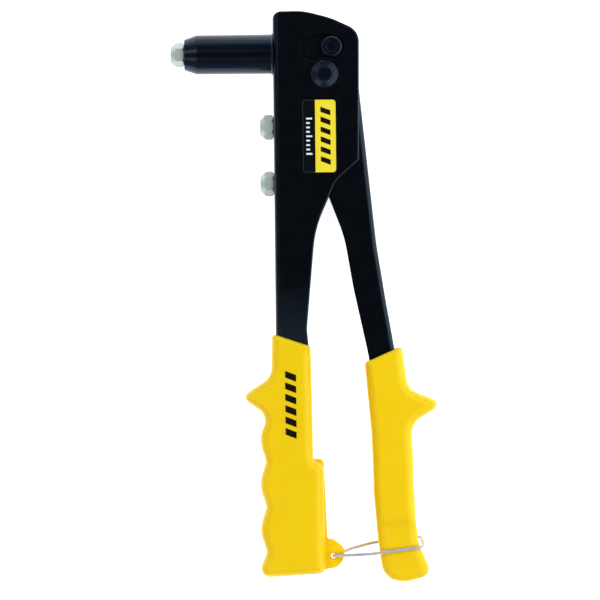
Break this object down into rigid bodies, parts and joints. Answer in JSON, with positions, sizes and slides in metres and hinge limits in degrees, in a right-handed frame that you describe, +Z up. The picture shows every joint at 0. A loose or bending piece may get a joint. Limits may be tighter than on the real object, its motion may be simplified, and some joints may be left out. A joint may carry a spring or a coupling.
{
  "type": "hand riveter",
  "caption": "Hand-operated blind riveter with a stamped steel body, a long side nose, a folding lever, moulded grips and a wire latch.",
  "frame": {"origin": "under the middle of the tool's bounding box, on the surface that it lies on", "axes": "+Y from the handles' ends to the head, +Z up out of the side that carries the label, and the nose points along -X"},
  "size_m": [0.1222, 0.2658, 0.023],
  "materials": {
    "black_paint": "semi-gloss black stoved paint",
    "black_oxide": "oiled black oxide steel",
    "yellow_plastic": "satin moulded vinyl",
    "bright_zinc": "bright zinc plate",
    "wire_steel": "nickel-plated spring wire",
    "plain_steel": "machined steel, lightly oiled",
    "label_film": "printed polyester film"
  },
  "bodies": {
    "body": {"body_frame": "black_paint", "id_label": "label_film", "nose_barrel": "black_oxide", "barrel_washer": "black_oxide", "barrel_lock_nut": "plain_steel", "fitted_nosepiece": "bright_zinc", "spare_nosepiece_upper": "bright_zinc", "spare_nosepiece_lower": "bright_zinc", "spare_holder_nut_upper": "plain_steel", "spare_holder_nut_lower": "plain_steel", "pivot_pin": "black_oxide", "fixed_grip": "yellow_plastic", "return_spring": "wire_steel"},
    "lever": {"lever_channel": "black_paint", "lever_grip": "yellow_plastic", "pivot_bush": "black_oxide", "cross_pin": "black_oxide"},
    "jaw_case": {"jaw_case": "plain_steel", "pull_rod": "black_oxide", "pusher_spring": "wire_steel"},
    "jaw_pusher": {"jaw_pusher": "plain_steel"},
    "jaw_1": {"jaw_1": "plain_steel"},
    "jaw_2": {"jaw_2": "plain_steel"},
    "jaw_3": {"jaw_3": "plain_steel"},
    "latch": {"latch_wire": "wire_steel"}
  },
  "joints": [
    {"name": "lever_pivot", "type": "hinge", "parent": "body", "child": "lever", "pos_m": [0.01052, 0.10347, 0.0115], "axis": [0, 0, 1], "range_deg": [-2, 40]},
    {"name": "pull_slide", "type": "slide", "parent": "body", "child": "jaw_case", "axis": [1, 0, 0], "range_m": [-0.0092, 0.0006], "deforming": ["return_spring"]},
    {"name": "pusher_slide", "type": "slide", "parent": "jaw_case", "child": "jaw_pusher", "axis": [1, 0, 0], "range_m": [0, 0.0015], "stiffness_N_per_m": 400, "deforming": ["pusher_spring"]},
    {"name": "latch_swing", "type": "hinge", "parent": "body", "child": "latch", "pos_m": [0.01252, -0.12073, 0.0115], "axis": [0, 0, 1], "range_deg": [-95, 0], "deforming": ["latch_wire"]},
    {"name": "jaw_1_slide", "type": "slide", "parent": "jaw_case", "child": "jaw_1", "axis": [0.9848, 0.1736, 0], "range_m": [0, 0.00153]},
    {"name": "jaw_2_slide", "type": "slide", "parent": "jaw_case", "child": "jaw_2", "axis": [0.9848, -0.0868, 0.1504], "range_m": [0, 0.00153]},
    {"name": "jaw_3_slide", "type": "slide", "parent": "jaw_case", "child": "jaw_3", "axis": [0.9848, -0.0868, -0.1504], "range_m": [0, 0.00153]}
  ],
  "couplings": [
    {"joint": "pull_slide", "follows": "lever_pivot", "m_per_rad": -0.012933},
    {"joint": "jaw_1_slide", "follows": "pusher_slide", "ratio": 1.0154},
    {"joint": "jaw_2_slide", "follows": "pusher_slide", "ratio": 1.0154},
    {"joint": "jaw_3_slide", "follows": "pusher_slide", "ratio": 1.0154}
  ]
}
